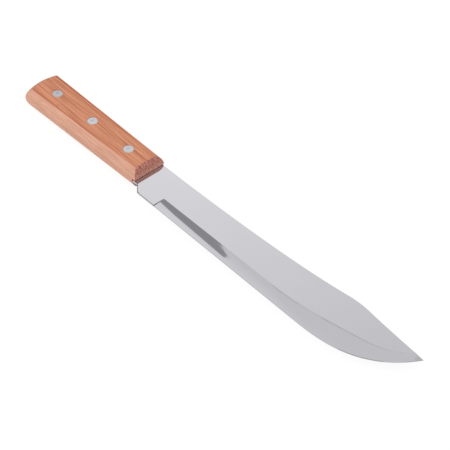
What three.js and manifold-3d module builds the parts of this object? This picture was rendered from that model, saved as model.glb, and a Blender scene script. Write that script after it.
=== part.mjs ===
// A butcher-pattern kitchen knife: a stamped steel blade with a swept spine, a clipped point, a deep belly
// and a hollow-ground edge, let into a slotted one-piece wooden handle and held there by three solid rivets.
// Millimetres. X runs from the butt to the tip, Y from the cutting edge to the spine and Z through the
// thickness. While it is built, X = 0 is the handle's front edge, Y = 0 the line of the rivets and Z = 0 the
// middle of the steel.

import * as THREE from 'three';
import { mergeVertices } from 'three/addons/utils/BufferGeometryUtils.js';
import Module from 'manifold-3d';

// Blade blank
const BLADE_LENGTH = 254;
const SHEET_THICKNESS = 1.6;
const POLISH_DEPTH = 0.05; // taken off each face of the blade, but not off the tang
const SPINE_HEIGHT_AT_HANDLE = 13.05;
const SPINE_HEIGHT_AT_CLIP = 23.3; // where the spine and the clip would meet in a sharp corner
const SPINE_STRAIGHT_REACH = 20.7;
const SPINE_SWEEP_REACH = 56.4;
const SPINE_SWEEP_RISE = 9.95; // how far the spine climbs over the sweep's reach
const CLIP_LENGTH = 64.8;
const CLIP_HOLLOW = 0.5;
const CLIP_CORNER_REACH = 11; // how far the rounded corner reaches along the spine and along the clip
const TIP_HEIGHT = 18;
const TIP_ANGLE = 60.5; // degrees, between the edge at the tip and X
const TIP_REACH = 42.2;
const BELLY_LENGTH = 79.4;
const BELLY_REACH = 24;
const EDGE_DEPTH_AT_BELLY = 20.5;
const EDGE_DEPTH_AT_PLUNGE = 18.9;

// Heel, between the handle and the ground edge
const ROOT_DEPTH = 13.6;
const ROOT_LENGTH = 3.3;
const HEEL_DEPTH = 18.7;
const HEEL_ROUNDING = 3;
const PLUNGE_DISTANCE = 27.3; // from the handle's front to the end of the grind

// Hollow grind
const GRIND_LINE_DEPTH = 8.9; // its upper limit along the straight edge
const GRIND_STRAIGHT_END = 139;
const GRIND_BELLY_REACH = 40;
const GRIND_TIP_REACH = 27;
const GRIND_TIP_ANGLE = 40;
const GRIND_TIP_SETBACK = 4; // from the tip, along the clip
const GRIND_HOLLOW = 0.12; // how deep the ground face dips below a flat one
const EDGE_BEVEL_WIDTH = 0.7;
const EDGE_BEVEL_THICKNESS = 0.3;
const EDGE_THICKNESS = 0.06;

// Tang
const TANG_FLOOR_DEPTH = 8.7; // its lower edge
const TANG_RECESS = 0.5; // below the handle's back
const TANG_END_GAP = 4; // from the butt
const ROOT_INSET = 1.1; // how far the blade's full width goes into the handle
const TANG_CORNER = 3;

// Handle
const HANDLE_LENGTH = 126.7; // to the crown of the domed butt
const HANDLE_THICKNESS = 17.7;
const HANDLE_WIDTH_FRONT = 27.4;
const HANDLE_WIDTH_BUTT = 30.7;
const HANDLE_OFFSET = 0.8; // of its middle from the line of rivets, towards the spine
const FACE_WIDTH_FRONT = 18.8; // the flat face between the rounded sides
const FACE_WIDTH_BUTT = 22.7;
const FRONT_SETBACK = 3.6; // the front rounds back from the blade to each flat face
const FRONT_POWER = 2.5; // how late that rounding sets in: 1 is an even slope
const BUTT_CROWN_ACROSS = 3.6; // how far the dome falls back towards the sides
const BUTT_CROWN_THROUGH = 5.7; // and towards the flat faces
const BUTT_ROUNDING = 0.5;
const SLOT_NOTCH_DEPTH = 2.5; // the slot comes out on the edge side over this length of the front

// Rivets
const RIVET_HEAD_DIAMETER = 7.4;
const RIVET_SHANK_DIAMETER = 5;
const RIVET_HEAD_DEPTH = 2.4;
const RIVET_CONE_DEPTH = 1.3;
const RIVET_DIMPLE_DIAMETER = 3;
const RIVET_DIMPLE_DEPTH = 0.25;
const RIVET_EDGE_BREAK = 0.25;
const RIVET_SINK = 0.1; // below the handle's faces
const RIVET_PITCH = 40.2;
const FRONT_RIVET_DISTANCE = 22.1;

// Room left between pieces that fit into each other
const FIT_CLEARANCE = 0.25;

// Steps along curves
const CURVE_STEPS = 24;
const SIDE_STEPS = 12;
const FACE_COLUMNS = 8;
const HANDLE_STATIONS = 7;
const STATION_MARGIN = 4; // from the shaped front and butt to the nearest plain ring
const BUTT_STATIONS = 2;
const GRIND_STRAIGHT_STEPS = 12;
const GRIND_BELLY_STEPS = 28;
const GRIND_HOLLOW_STEPS = 7;
const RIVET_SIDES = 24;
const CUTTER_MARGIN = 10;

const wasm = await Module();
wasm.setup();

const lerp = THREE.MathUtils.lerp;
const point = (x, y) => new THREE.Vector2(x, y);

// Solids and booleans

function closedGeometry(vertices, triangles) {
  const corner = vertices.map((v) => new THREE.Vector3(...v));
  const volume = triangles.reduce(
    (sum, [a, b, c]) => sum + corner[a].dot(corner[b].clone().cross(corner[c])) / 6,
    0,
  );
  const outward = volume > 0 ? triangles : triangles.map(([a, b, c]) => [a, c, b]);
  const geometry = new THREE.BufferGeometry();
  geometry.setAttribute('position', new THREE.Float32BufferAttribute(vertices.flat(), 3));
  geometry.setIndex(outward.flat());
  return geometry;
}

function toSolid(geometry) {
  const bare = new THREE.BufferGeometry();
  bare.setAttribute('position', geometry.getAttribute('position').clone());
  if (geometry.index) bare.setIndex(geometry.index.clone());
  const merged = mergeVertices(bare);
  const index = merged.index.array;
  const kept = [];
  for (let i = 0; i < index.length; i += 3) {
    const [a, b, c] = index.slice(i, i + 3);
    if (a !== b && b !== c && c !== a) kept.push(a, b, c);
  }
  const vertProperties = new Float32Array(merged.getAttribute('position').array);
  const mesh = new wasm.Mesh({ numProp: 3, vertProperties, triVerts: new Uint32Array(kept) });
  return new wasm.Manifold(mesh);
}

function toGeometry(solid) {
  const { vertProperties, triVerts } = solid.getMesh();
  const geometry = new THREE.BufferGeometry();
  geometry.setAttribute('position', new THREE.BufferAttribute(vertProperties, 3));
  geometry.setIndex(new THREE.BufferAttribute(triVerts, 1));
  geometry.computeVertexNormals();
  return geometry;
}

// A plan outline drawn up to a thickness, half above and half below the steel's middle
function plate(outline, thickness) {
  const settings = { depth: thickness, bevelEnabled: false, curveSegments: CURVE_STEPS };
  return new THREE.ExtrudeGeometry(outline, settings).translate(0, 0, -thickness / 2);
}

// Half widths of the handle and of its flat faces at a place x along it (x is negative)

const halfWidthAt = (x) => lerp(HANDLE_WIDTH_FRONT, HANDLE_WIDTH_BUTT, -x / HANDLE_LENGTH) / 2;
const halfFaceAt = (x) => lerp(FACE_WIDTH_FRONT, FACE_WIDTH_BUTT, -x / HANDLE_LENGTH) / 2;

// Curves of the blade, each drawn from the handle towards the tip

const tip = point(BLADE_LENGTH, TIP_HEIGHT);
const clipCorner = point(BLADE_LENGTH - CLIP_LENGTH, SPINE_HEIGHT_AT_CLIP);
const bellyStart = point(BLADE_LENGTH - BELLY_LENGTH, -EDGE_DEPTH_AT_BELLY);
const plungeEdge = point(PLUNGE_DISTANCE, -EDGE_DEPTH_AT_PLUNGE);

function behind(end, angleInDegrees, reach) {
  const angle = THREE.MathUtils.degToRad(angleInDegrees);
  return point(end.x - reach * Math.cos(angle), end.y - reach * Math.sin(angle));
}

const spineCurve = new THREE.CubicBezierCurve(
  point(0, SPINE_HEIGHT_AT_HANDLE),
  point(SPINE_STRAIGHT_REACH, SPINE_HEIGHT_AT_HANDLE),
  point(clipCorner.x - SPINE_SWEEP_REACH, clipCorner.y - SPINE_SWEEP_RISE),
  clipCorner,
);
const clipCurve = new THREE.QuadraticBezierCurve(
  clipCorner,
  clipCorner.clone().lerp(tip, 0.5).sub(point(0, 2 * CLIP_HOLLOW)),
  tip,
);
const bellyCurve = new THREE.CubicBezierCurve(
  bellyStart,
  point(bellyStart.x + BELLY_REACH, bellyStart.y),
  behind(tip, TIP_ANGLE, TIP_REACH),
  tip,
);

// The sharp corner between the spine and the clip is rounded by a curve that leaves both at the same reach
const spineShare = 1 - CLIP_CORNER_REACH / spineCurve.getLength();
const clipShare = CLIP_CORNER_REACH / clipCurve.getLength();

function followCurve(outline, curve, from, to) {
  for (let i = 1; i <= CURVE_STEPS; i += 1) {
    const p = curve.getPointAt(lerp(from, to, i / CURVE_STEPS));
    outline.lineTo(p.x, p.y);
  }
}

// Blade blank: heel, edge, belly, clip, spine and tang in one outline

function blankOutline() {
  const tangEnd = -(HANDLE_LENGTH - TANG_END_GAP);
  const chamfer = HEEL_DEPTH - ROOT_DEPTH;
  const heelX = ROOT_LENGTH + chamfer;
  const cut = HEEL_ROUNDING * Math.SQRT1_2;
  const roundingEnd = spineCurve.getPointAt(spineShare);
  const tangBack = (x) => HANDLE_OFFSET + halfWidthAt(x) - TANG_RECESS;

  const outline = new THREE.Shape();
  outline.moveTo(tangEnd, -TANG_FLOOR_DEPTH + TANG_CORNER);
  outline.quadraticCurveTo(tangEnd, -TANG_FLOOR_DEPTH, tangEnd + TANG_CORNER, -TANG_FLOOR_DEPTH);
  outline.lineTo(-ROOT_INSET, -TANG_FLOOR_DEPTH);
  outline.lineTo(-ROOT_INSET, -ROOT_DEPTH);
  outline.lineTo(ROOT_LENGTH, -ROOT_DEPTH);
  outline.lineTo(heelX - cut, -HEEL_DEPTH + cut);
  outline.quadraticCurveTo(heelX, -HEEL_DEPTH, heelX + HEEL_ROUNDING, -HEEL_DEPTH);
  outline.lineTo(PLUNGE_DISTANCE, -HEEL_DEPTH);
  outline.lineTo(plungeEdge.x, plungeEdge.y);
  outline.lineTo(bellyStart.x, bellyStart.y);
  followCurve(outline, bellyCurve, 0, 1);
  followCurve(outline, clipCurve, 1, clipShare);
  outline.quadraticCurveTo(clipCorner.x, clipCorner.y, roundingEnd.x, roundingEnd.y);
  followCurve(outline, spineCurve, spineShare, 0);
  outline.lineTo(-ROOT_INSET, SPINE_HEIGHT_AT_HANDLE);
  outline.lineTo(-ROOT_INSET, tangBack(-ROOT_INSET));
  outline.lineTo(tangEnd + TANG_CORNER, tangBack(tangEnd + TANG_CORNER));
  outline.quadraticCurveTo(tangEnd, tangBack(tangEnd), tangEnd, tangBack(tangEnd) - TANG_CORNER);
  return outline;
}

// Hollow grind: one cutter for each face. Its lower side is the ground face, a shallow trough carried along
// the blade between the grind line and the edge, and the two lines run together towards the tip.

function grindLines() {
  const grindStart = point(PLUNGE_DISTANCE, -GRIND_LINE_DEPTH);
  const grindBelly = point(GRIND_STRAIGHT_END, -GRIND_LINE_DEPTH);
  const grindEnd = clipCurve.getPointAt(1 - GRIND_TIP_SETBACK / clipCurve.getLength());
  const grindCurve = new THREE.CubicBezierCurve(
    grindBelly,
    point(grindBelly.x + GRIND_BELLY_REACH, grindBelly.y),
    behind(grindEnd, GRIND_TIP_ANGLE, GRIND_TIP_REACH),
    grindEnd,
  );
  const lines = [];
  for (let i = 0; i <= GRIND_STRAIGHT_STEPS; i += 1) {
    const t = i / GRIND_STRAIGHT_STEPS;
    const upper = grindStart.clone().lerp(grindBelly, t);
    lines.push({ upper, lower: plungeEdge.clone().lerp(bellyStart, t) });
  }
  for (let i = 1; i <= GRIND_BELLY_STEPS; i += 1) {
    const t = i / GRIND_BELLY_STEPS;
    lines.push({ upper: grindCurve.getPointAt(t), lower: bellyCurve.getPointAt(t) });
  }
  const last = lines.at(-1);
  const past = point(CUTTER_MARGIN, 0).rotateAround(point(0, 0), THREE.MathUtils.degToRad(GRIND_TIP_ANGLE));
  lines.push({ upper: last.upper.clone().add(past), lower: last.lower.clone().add(past) });
  return lines;
}

// Half thickness of the steel at a share of the way from the grind line to the start of the edge bevel
function groundHalfThickness(share) {
  const flat = lerp(SHEET_THICKNESS / 2 - POLISH_DEPTH, EDGE_BEVEL_THICKNESS / 2, share);
  return flat - GRIND_HOLLOW * 4 * share * (1 - share);
}

function grindRow({ upper, lower }) {
  const across = lower.clone().sub(upper);
  const width = across.length();
  across.divideScalar(width);
  const hollowWidth = width - EDGE_BEVEL_WIDTH;
  const at = (distance, z) => [upper.x + across.x * distance, upper.y + across.y * distance, z];
  const above = -hollowWidth / GRIND_HOLLOW_STEPS;
  const row = [at(above, 2 * groundHalfThickness(0) - groundHalfThickness(-above / hollowWidth))];
  for (let j = 0; j <= GRIND_HOLLOW_STEPS; j += 1) {
    const share = j / GRIND_HOLLOW_STEPS;
    row.push(at(share * hollowWidth, groundHalfThickness(share)));
  }
  row.push(at(width, EDGE_THICKNESS / 2));
  row.push(at(width + CUTTER_MARGIN, EDGE_THICKNESS / 2));
  return row;
}

function grindCutter(side) {
  const rows = grindLines().map(grindRow);
  const columns = rows[0].length;
  const ceiling = SHEET_THICKNESS + CUTTER_MARGIN;
  const ground = rows.flat();
  const raised = ground.map(([x, y]) => [x, y, ceiling]);
  const vertices = [...ground, ...raised].map(([x, y, z]) => [x, y, side * z]);
  const roof = ground.length;
  const low = (i, j) => i * columns + j;
  const triangles = [];
  const quad = (a, b, c, d) => triangles.push([a, b, c], [a, c, d]);
  for (let i = 0; i < rows.length - 1; i += 1) {
    for (let j = 0; j < columns - 1; j += 1) {
      quad(low(i, j), low(i, j + 1), low(i + 1, j + 1), low(i + 1, j));
      quad(roof + low(i, j), roof + low(i + 1, j), roof + low(i + 1, j + 1), roof + low(i, j + 1));
    }
    quad(low(i, 0), low(i + 1, 0), roof + low(i + 1, 0), roof + low(i, 0));
    const j = columns - 1;
    quad(low(i + 1, j), low(i, j), roof + low(i, j), roof + low(i + 1, j));
  }
  const end = rows.length - 1;
  for (let j = 0; j < columns - 1; j += 1) {
    quad(low(0, j + 1), low(0, j), roof + low(0, j), roof + low(0, j + 1));
    quad(low(end, j), low(end, j + 1), roof + low(end, j + 1), roof + low(end, j));
  }
  return toSolid(closedGeometry(vertices, triangles));
}

// The polished blade is a little thinner than its tang
function polishCutter(side) {
  const reach = BLADE_LENGTH + CUTTER_MARGIN;
  const slab = new THREE.BoxGeometry(reach, 2 * reach, SHEET_THICKNESS);
  slab.translate(reach / 2, 0, side * (SHEET_THICKNESS - POLISH_DEPTH));
  return toSolid(slab);
}

// Rivets: a shank that swells into a countersunk head at each face, with a small pressed dimple

function rivetProfile(clearance, halfHeight) {
  const head = RIVET_HEAD_DIAMETER / 2 + clearance;
  const shank = RIVET_SHANK_DIAMETER / 2 + clearance;
  const neck = HANDLE_THICKNESS / 2 - RIVET_SINK - RIVET_HEAD_DEPTH;
  return { head, shank, neck, cone: neck - RIVET_CONE_DEPTH, top: halfHeight };
}

function turned(upperHalf) {
  const lowerHalf = upperHalf.map(([r, z]) => [r, -z]).reverse();
  const profile = [...lowerHalf, ...upperHalf].map(([r, z]) => point(r, z));
  return new THREE.LatheGeometry(profile, RIVET_SIDES).rotateX(Math.PI / 2);
}

function rivetGeometry() {
  const { head, shank, neck, cone, top } = rivetProfile(0, HANDLE_THICKNESS / 2 - RIVET_SINK);
  const dimple = (share) => [
    (share * RIVET_DIMPLE_DIAMETER) / 2,
    top - RIVET_DIMPLE_DEPTH * (1 - share ** 2),
  ];
  return turned([
    [shank, cone],
    [head, neck],
    [head, top - RIVET_EDGE_BREAK],
    [head - RIVET_EDGE_BREAK, top],
    dimple(1),
    dimple(1 / 2),
    dimple(0),
  ]);
}

function rivetHole() {
  const { head, shank, neck, cone, top } = rivetProfile(FIT_CLEARANCE, HANDLE_THICKNESS);
  return turned([
    [shank, cone],
    [head, neck],
    [head, top],
    [0, top],
  ]);
}

const rivetPlaces = ['front_rivet', 'middle_rivet', 'rear_rivet'].map((name, i) => ({
  name,
  x: -(FRONT_RIVET_DISTANCE + i * RIVET_PITCH),
}));

function cutRivetHoles(solid) {
  return rivetPlaces.reduce((left, { x }) => left.subtract(toSolid(rivetHole().translate(x, 0, 0))), solid);
}

function bladeGeometry() {
  let blade = toSolid(plate(blankOutline(), SHEET_THICKNESS));
  for (const side of [1, -1]) {
    blade = blade.subtract(polishCutter(side)).subtract(grindCutter(side));
  }
  return toGeometry(cutRivetHoles(blade));
}

// Handle: rings of points carried from the front to the butt, each with two flat faces and two round sides

const RING = {
  rightTop: 0,
  rightBottom: SIDE_STEPS,
  leftBottom: SIDE_STEPS + FACE_COLUMNS,
  leftTop: 2 * SIDE_STEPS + FACE_COLUMNS,
  size: 2 * SIDE_STEPS + 2 * FACE_COLUMNS,
};

// Half section from the top face's corner round the side to the bottom face's corner, as [y, z]
function sideArc(halfWidth, halfFace, halfThickness) {
  const swell = halfWidth - halfFace;
  const radius = (halfThickness ** 2 + swell ** 2) / (2 * swell);
  const span = Math.asin(halfThickness / radius);
  return Array.from({ length: SIDE_STEPS + 1 }, (_, i) => {
    const angle = span * (1 - (2 * i) / SIDE_STEPS);
    return [halfWidth - radius + radius * Math.cos(angle), radius * Math.sin(angle)];
  });
}

// placeX gives a point's X from its Y and Z; inset draws the whole section in
function handleRing(placeX, inset) {
  const halfThickness = HANDLE_THICKNESS / 2 - inset;
  const arcAt = (x) => sideArc(halfWidthAt(x) - inset, halfFaceAt(x) - inset, halfThickness);
  const side = (sign) => arcAt(0).map(([y0, z], i) => {
    const x = placeX(sign * y0, z);
    const [y] = arcAt(x)[i];
    return [placeX(sign * y, z), HANDLE_OFFSET + sign * y, z];
  });
  const right = side(1);
  const left = side(-1).reverse();
  const between = (from, to) => Array.from({ length: FACE_COLUMNS - 1 }, (_, i) => {
    const y = lerp(from[1], to[1], (i + 1) / FACE_COLUMNS);
    return [placeX(y - HANDLE_OFFSET, from[2]), y, from[2]];
  });
  return [...right, ...between(right.at(-1), left[0]), ...left, ...between(left.at(-1), right[0])];
}

// The front is a rounded nose and the butt a shallow dome
const frontX = (y, z) => -FRONT_SETBACK * (Math.abs(z) / (HANDLE_THICKNESS / 2)) ** FRONT_POWER;

function buttX(y, z) {
  const across = BUTT_CROWN_ACROSS * (y / halfWidthAt(-HANDLE_LENGTH)) ** 2;
  const through = BUTT_CROWN_THROUGH * (z / (HANDLE_THICKNESS / 2)) ** 2;
  return -HANDLE_LENGTH + across + through;
}

function handleRings() {
  const rings = [handleRing(frontX, 0)];
  const dome = BUTT_CROWN_ACROSS + BUTT_CROWN_THROUGH + BUTT_ROUNDING;
  const straightStart = -(FRONT_SETBACK + STATION_MARGIN);
  const straightEnd = -(HANDLE_LENGTH - dome - STATION_MARGIN);
  for (let i = 0; i < HANDLE_STATIONS; i += 1) {
    const x = lerp(straightStart, straightEnd, i / (HANDLE_STATIONS - 1));
    rings.push(handleRing(() => x, 0));
  }
  for (let i = 0; i <= BUTT_STATIONS; i += 1) {
    const turn = (i / BUTT_STATIONS) * (Math.PI / 2);
    const lead = BUTT_ROUNDING * (1 - Math.sin(turn));
    rings.push(handleRing((y, z) => buttX(y, z) + lead, BUTT_ROUNDING * (1 - Math.cos(turn))));
  }
  return rings;
}

// Rows and columns of a ring's end face; the rim uses the ring's own points and the rest are added
function endFace(vertices, ringStart, placeX) {
  const rim = (i) => ringStart + (i % RING.size);
  const rows = [];
  for (let j = 0; j <= SIDE_STEPS; j += 1) {
    const right = rim(RING.rightTop + j);
    const left = rim(RING.leftTop - j);
    const row = [right];
    for (let c = 1; c < FACE_COLUMNS; c += 1) {
      if (j === 0) row.push(rim(RING.size - c));
      else if (j === SIDE_STEPS) row.push(rim(RING.rightBottom + c));
      else {
        const y = lerp(vertices[right][1], vertices[left][1], c / FACE_COLUMNS);
        const z = vertices[right][2];
        row.push(vertices.push([placeX(y - HANDLE_OFFSET, z), y, z]) - 1);
      }
    }
    row.push(left);
    rows.push(row);
  }
  return rows;
}

function handleBody() {
  const rings = handleRings();
  const vertices = rings.flat();
  const triangles = [];
  for (let i = 0; i < rings.length - 1; i += 1) {
    for (let k = 0; k < RING.size; k += 1) {
      const next = (k + 1) % RING.size;
      const [a, b] = [i * RING.size + k, i * RING.size + next];
      triangles.push([a, b, b + RING.size], [a, b + RING.size, a + RING.size]);
    }
  }
  const ends = [
    { rows: endFace(vertices, 0, frontX), flip: false },
    { rows: endFace(vertices, (rings.length - 1) * RING.size, buttX), flip: true },
  ];
  for (const { rows, flip } of ends) {
    for (let j = 0; j < SIDE_STEPS; j += 1) {
      for (let c = 0; c < FACE_COLUMNS; c += 1) {
        const [a, b, d, e] = [rows[j][c], rows[j][c + 1], rows[j + 1][c + 1], rows[j + 1][c]];
        if (flip) triangles.push([a, d, b], [a, e, d]);
        else triangles.push([a, b, d], [a, d, e]);
      }
    }
  }
  return toSolid(closedGeometry(vertices, triangles));
}

// The slot is open at the front, along the back and at the butt; at the front it also opens on the edge side
function slotCutter() {
  const floor = -TANG_FLOOR_DEPTH - FIT_CLEARANCE;
  const far = HANDLE_LENGTH + CUTTER_MARGIN;
  const wide = HANDLE_WIDTH_BUTT;
  const outline = new THREE.Shape();
  outline.moveTo(-far, floor);
  outline.lineTo(-SLOT_NOTCH_DEPTH, floor);
  outline.lineTo(-SLOT_NOTCH_DEPTH, -wide);
  outline.lineTo(CUTTER_MARGIN, -wide);
  outline.lineTo(CUTTER_MARGIN, wide);
  outline.lineTo(-far, wide);
  return toSolid(plate(outline, SHEET_THICKNESS + 2 * FIT_CLEARANCE));
}

function handleGeometry() {
  return toGeometry(cutRivetHoles(handleBody().subtract(slotCutter())));
}

// Assembly

function piece(name, geometry, color, roughness, metalness) {
  const mesh = new THREE.Mesh(geometry, new THREE.MeshStandardMaterial({ color, roughness, metalness }));
  mesh.name = name;
  return mesh;
}

const assembly = new THREE.Group();
assembly.add(piece('blade', bladeGeometry(), 0xc9cacd, 0.22, 1));
assembly.add(piece('handle', handleGeometry(), 0xce8764, 0.55, 0));
for (const { name, x } of rivetPlaces) {
  const rivet = piece(name, rivetGeometry(), 0xc3c2c6, 0.35, 1);
  rivet.position.x = x;
  assembly.add(rivet);
}

// The knife lies flat with the origin under the middle of its box
const box = new THREE.Box3().setFromObject(assembly);
const middle = box.getCenter(new THREE.Vector3());
assembly.position.set(-middle.x, -middle.y, -box.min.z);

const knife = new THREE.Group();
knife.add(assembly);

export default knife;
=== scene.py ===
from math import comb, cos, radians, sin

import bmesh
import bpy
import numpy as np
from mathutils import Color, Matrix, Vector


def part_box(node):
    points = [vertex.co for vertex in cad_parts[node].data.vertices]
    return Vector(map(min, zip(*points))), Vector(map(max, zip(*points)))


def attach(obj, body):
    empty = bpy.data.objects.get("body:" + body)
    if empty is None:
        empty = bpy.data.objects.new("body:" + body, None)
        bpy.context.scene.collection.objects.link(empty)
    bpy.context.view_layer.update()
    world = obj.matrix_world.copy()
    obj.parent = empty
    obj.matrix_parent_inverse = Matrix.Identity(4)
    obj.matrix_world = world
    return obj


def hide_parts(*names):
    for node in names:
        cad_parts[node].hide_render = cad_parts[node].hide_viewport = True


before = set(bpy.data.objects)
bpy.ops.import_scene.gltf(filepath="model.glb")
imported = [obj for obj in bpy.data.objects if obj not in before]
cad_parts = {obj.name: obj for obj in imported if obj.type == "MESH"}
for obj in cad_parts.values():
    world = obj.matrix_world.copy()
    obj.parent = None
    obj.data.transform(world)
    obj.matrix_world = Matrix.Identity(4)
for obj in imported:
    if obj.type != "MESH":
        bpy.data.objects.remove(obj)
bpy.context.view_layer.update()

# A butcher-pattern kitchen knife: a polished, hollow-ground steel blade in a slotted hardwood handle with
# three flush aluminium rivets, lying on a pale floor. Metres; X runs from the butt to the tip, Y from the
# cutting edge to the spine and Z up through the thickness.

bl_info = {
    "name": "Riveted Kitchen Knife",
    "version": (1, 0, 0),
    "blender": (4, 5, 0),
    "location": "View3D > Sidebar > Knife",
    "description": "Finishes the blade, the wooden handle and the rivets of a kitchen knife",
    "category": "Object",
}

MM = 0.001
BODY = "root"
RIVET_NODES = ("front_rivet", "middle_rivet", "rear_rivet")
WHITE = (1, 1, 1, 1)
TINY = 1e-9
MERGE_DISTANCE = 1e-7
FULLY_MARKED = 0.99

# Steps of the blade's outline, in order from the tang's end to the tip
TANG_STEPS = 21
SLOPE_STEPS = 4
HEEL_STEPS = 8
PLUNGE_STEPS = 7
STRAIGHT_STEPS = 60
BELLY_STEPS = 120
TIP_CROWDING = 1.15  # over 1, the steps of the belly crowd towards the tip

# Steps of the curves and of the faces between them
CURVE_STEPS = 400
CLIP_CORNER_STEPS = 40
ROUND_STEPS = 6
BREAK_STEPS = 5
HOLLOW_STEPS = 16
FLAT_STEPS = 12
BEVEL_SHARES = np.array([0.6, 1.0])
ARC_STEPS = 28
FACE_STEPS = 16
HANDLE_STEPS = 40
DIMPLE_STEPS = 8
HOLE_SIDES = 64
RIVET_SIDES = 72

# Plans of the cards that the blade reflects, in millimetres from the handle's front and the rivet line
DARK_PLAN = [(-545, 195), (-420, 268), (-400, 287), (-325, 313), (-313, 279), (-318, 241), (-313, 232)]
DARK_PLAN += [(-313, 195)]
GREY_PLAN = [(-240, 239), (-200, 275), (-161, 289), (-139, 284), (-112, 268), (-48, 210), (-13, 195)]
GREY_PLAN += [(54, 209), (66, 209), (66, 105), (-45, 105), (-60, 140)]
TIP_PLAN = [(77, 238), (15, 304), (-60, 388), (20, 388), (135, 300), (135, 222), (92, 222)]

# Places taken from the frame
blade_low, blade_high = (np.array(corner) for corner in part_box("blade"))
handle_low, handle_high = (np.array(corner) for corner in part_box("handle"))
rivet_boxes = [tuple(np.array(corner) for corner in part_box(node)) for node in RIVET_NODES]
rivet_centres = [(low + high) / 2 for low, high in rivet_boxes]

BLADE_LENGTH = 254 * MM
front_x = blade_high[0] - BLADE_LENGTH
steel_middle = (blade_low[2] + blade_high[2]) / 2
# The handle's front, on the rivet line and in the middle of the steel
origin = np.array([front_x, rivet_centres[0][1], steel_middle])
handle_thickness = handle_high[2] - handle_low[2]
sheet_thickness = blade_high[2] - blade_low[2]
rivet_height = rivet_boxes[0][1][2] - rivet_boxes[0][0][2]
rivet_head = rivet_boxes[0][1][0] - rivet_boxes[0][0][0]


def number(name, description, default, **limits):
    """A number that a user can set."""
    return bpy.props.FloatProperty(name=name, description=description, default=default, **limits)


def size(name, description, millimetres):
    """A length that a user can set, given in millimetres and kept in metres."""
    return number(name, description, millimetres * MM, unit="LENGTH", subtype="DISTANCE", precision=5)


def angle(name, description, degrees):
    """An angle that a user can set, given in degrees and kept in radians."""
    return number(name, description, radians(degrees), unit="ROTATION", subtype="ANGLE")


def colour(name, description, default):
    """A linear colour that a user can set."""
    return bpy.props.FloatVectorProperty(
        name=name, description=description, default=default, size=3, min=0, max=1, subtype="COLOR"
    )


class BladeSizes(bpy.types.PropertyGroup):
    """Sizes of the blade and its tang."""

    length: size("Length", "From the handle's front to the tip", BLADE_LENGTH / MM)
    thickness: size("Sheet thickness", "Of the steel at the tang", sheet_thickness / MM)
    polish: size("Polish depth", "Taken off each face outside the handle", 0.05)
    polish_inset: size("Polish inset", "How far the polish goes into the slot", 0.6)
    corner_break: size("Corner break", "Radius left on the corners of the spine", 0.08)
    heel_break: size("Heel break", "Radius left on the corners of the heel", 0.7)
    spine_at_handle: size("Spine at the handle", "Height over the rivet line", 13.05)
    spine_at_clip: size("Spine at the clip", "Height of the corner between spine and clip", 23.3)
    spine_straight: size("Straight spine", "Reach of the straight start of the spine", 20.7)
    sweep_reach: size("Sweep reach", "Reach of the spine's sweep before the clip", 56.4)
    sweep_rise: size("Sweep rise", "How far the spine climbs over that reach", 9.95)
    clip_length: size("Clip length", "From the clip's corner to the tip", 64.8)
    clip_hollow: size("Clip hollow", "How far the clip dips below a straight line", 0.5)
    clip_corner: size("Clip corner", "Reach of the rounded corner on both sides", 11)
    tip_height: size("Tip height", "Over the rivet line", 18)
    tip_angle: angle("Tip angle", "Between the edge at the tip and the blade's length", 60.5)
    tip_reach: size("Tip reach", "Reach of the belly's curve at the tip", 42.2)
    belly_length: size("Belly length", "From the end of the straight edge to the tip", 79.4)
    belly_reach: size("Belly reach", "Reach of the belly's curve at the straight edge", 24)
    edge_at_belly: size("Edge at the belly", "Depth under the rivet line", 20.5)
    edge_at_plunge: size("Edge at the plunge", "Depth under the rivet line", 19)
    root_depth: size("Root depth", "Depth of the blade at the handle", 13.6)
    root_length: size("Root length", "From the handle to the heel's slope", 3.2)
    root_inset: size("Root inset", "How far the full width goes into the handle", 1.5)
    heel_depth: size("Heel depth", "Depth of the unground heel", 18.9)
    heel_run: size("Heel run", "Length of the heel's slope along the blade", 6.2)
    heel_rounding: size("Heel rounding", "Reach of the rounded heel corner", 1.2)
    plunge: size("Plunge distance", "From the handle to the end of the grind", 26.9)
    plunge_ramp: size("Plunge ramp", "Length over which the grind reaches its depth", 0.26)
    grind_depth: size("Grind line depth", "Under the rivet line, along the straight edge", 9.05)
    grind_straight: size("Grind line end", "Where the straight grind line ends", 139)
    grind_reach: size("Grind line reach", "Reach of its curve at the straight stretch", 28)
    grind_low_x: size("Grind pull, low", "Where the first inner control point of its curve lies", 180.9)
    grind_low_y: size("Grind pull depth, low", "Depth of that point under the rivet line", 5.9)
    grind_high_x: size("Grind pull, high", "Where the second inner control point lies", 235.6)
    grind_high_y: size("Grind pull height, high", "Height of that point over the rivet line", 6.6)
    grind_tip_reach: size("Grind tip reach", "Reach of its curve at the tip", 30)
    grind_tip_angle: angle("Grind tip angle", "At which the grind line meets the clip", 41.2)
    grind_setback: size("Grind setback", "From the tip, along the clip", 6.7)
    hollow: size("Hollow", "How deep the ground face dips below a flat one", 0.12)
    bevel_width: size("Edge bevel width", "Of the sharpened strip", 0.7)
    bevel_thickness: size("Edge bevel thickness", "Of the steel where that strip starts", 0.3)
    edge_thickness: size("Edge thickness", "Of the cutting edge", 0.06)
    tang_floor: size("Tang depth", "Its lower edge, under the rivet line", 8.7)
    tang_recess: size("Tang recess", "Below the handle's back", 0.5)
    tang_corner: size("Tang corner", "Rounding of the tang's end", 3)


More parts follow.
